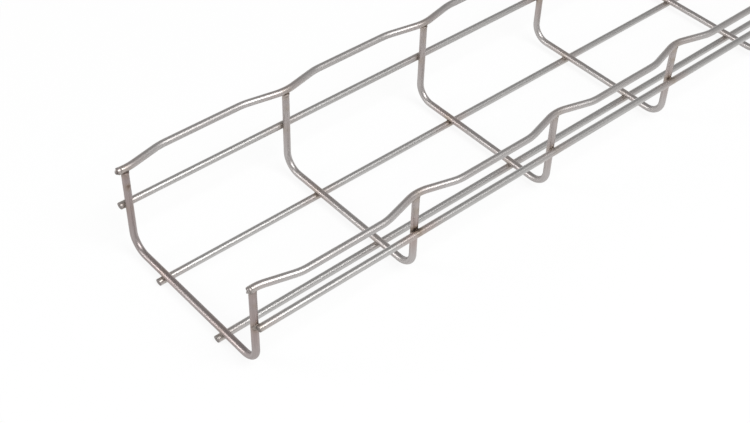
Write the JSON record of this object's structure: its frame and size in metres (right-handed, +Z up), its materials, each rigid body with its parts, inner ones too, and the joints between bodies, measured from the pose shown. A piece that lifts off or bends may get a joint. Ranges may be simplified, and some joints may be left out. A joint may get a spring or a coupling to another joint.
{
  "type": "wire mesh cable basket",
  "caption": "Straight length of U-shaped cable basket in bare round stainless wire, with wavy edge wires, for carrying cables along walls, ceilings and floors.",
  "frame": {"origin": "Middle of the basket's footprint, on the surface that the bottom wires lie on.", "axes": "+X along the basket, +Y across it to the left wall, +Z up out of its open top."},
  "size_m": [2.009, 0.1192, 0.06],
  "materials": {
    "cross_wire_steel": "Bare drawn stainless wire, dull grey, with brown heat tint where it is welded.",
    "long_wire_steel": "Bare drawn stainless wire, grey, with a soft bright streak along it and dark welds.",
    "edge_wire_steel": "Bare drawn stainless wire, grey, faintly straw-coloured beside its welds."
  },
  "bodies": {
    "root": {"cross_wire_01": "cross_wire_steel", "cross_wire_02": "cross_wire_steel", "cross_wire_03": "cross_wire_steel", "cross_wire_04": "cross_wire_steel", "cross_wire_05": "cross_wire_steel", "cross_wire_06": "cross_wire_steel", "cross_wire_07": "cross_wire_steel", "cross_wire_08": "cross_wire_steel", "cross_wire_09": "cross_wire_steel", "cross_wire_10": "cross_wire_steel", "cross_wire_11": "cross_wire_steel", "cross_wire_12": "cross_wire_steel", "cross_wire_13": "cross_wire_steel", "cross_wire_14": "cross_wire_steel", "cross_wire_15": "cross_wire_steel", "cross_wire_16": "cross_wire_steel", "cross_wire_17": "cross_wire_steel", "cross_wire_18": "cross_wire_steel", "cross_wire_19": "cross_wire_steel", "cross_wire_20": "cross_wire_steel", "cross_wire_21": "cross_wire_steel", "bottom_wire_left": "long_wire_steel", "bottom_wire_right": "long_wire_steel", "side_wire_left": "long_wire_steel", "side_wire_right": "long_wire_steel", "edge_wire_left": "edge_wire_steel", "edge_wire_right": "edge_wire_steel"}
  },
  "joints": []
}
